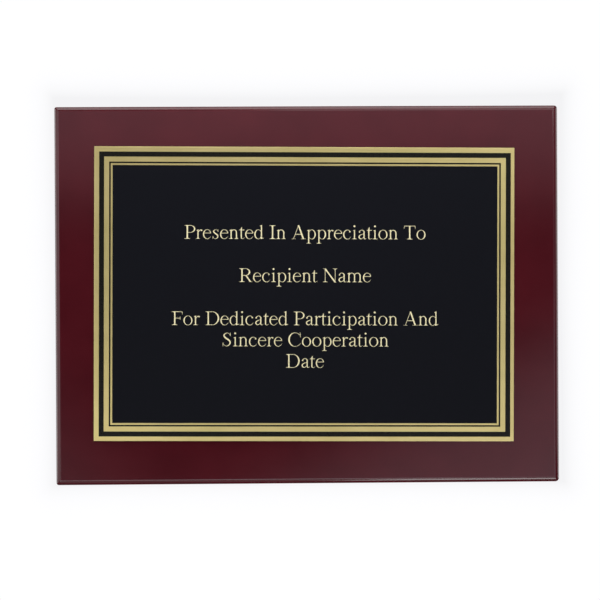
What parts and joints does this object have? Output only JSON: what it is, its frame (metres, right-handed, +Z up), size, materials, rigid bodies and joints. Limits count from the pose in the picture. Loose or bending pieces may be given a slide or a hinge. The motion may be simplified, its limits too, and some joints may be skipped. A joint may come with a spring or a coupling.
{
  "type": "wooden plaque",
  "caption": "Rectangular wall plaque: glossy dark red lacquered board with a black and brass engraving plate on its front and keyhole hangers let into its back.",
  "frame": {"origin": "centre of the back, on the wall plane that the backing sheet lies against", "axes": "+X to the right as seen from the front, +Y into the wall (the front faces -Y), +Z up with the plaque hung wide"},
  "size_m": [0.3048, 0.0174, 0.2286],
  "materials": {
    "red_lacquer": "gloss",
    "fibreboard": "matte",
    "black_paper": "matte",
    "clear_tape": "satin",
    "brass": "satin",
    "black_enamel": "satin",
    "plated_steel": "satin"
  },
  "bodies": {
    "root": {"board_core": "fibreboard", "lacquer_shell": "red_lacquer", "backing_sheet": "black_paper", "tape_strip_top": "clear_tape", "tape_strip_middle": "clear_tape", "tape_strip_bottom": "clear_tape", "brass_plate": "brass", "enamel_outer_band": "black_enamel", "enamel_inner_line": "black_enamel", "enamel_field": "black_enamel", "keyhole_hanger_top": "plated_steel", "top_hanger_screw_lower": "plated_steel", "top_hanger_screw_upper": "plated_steel", "keyhole_hanger_side": "plated_steel", "side_hanger_screw_inner": "plated_steel", "side_hanger_screw_outer": "plated_steel"}
  },
  "joints": []
}
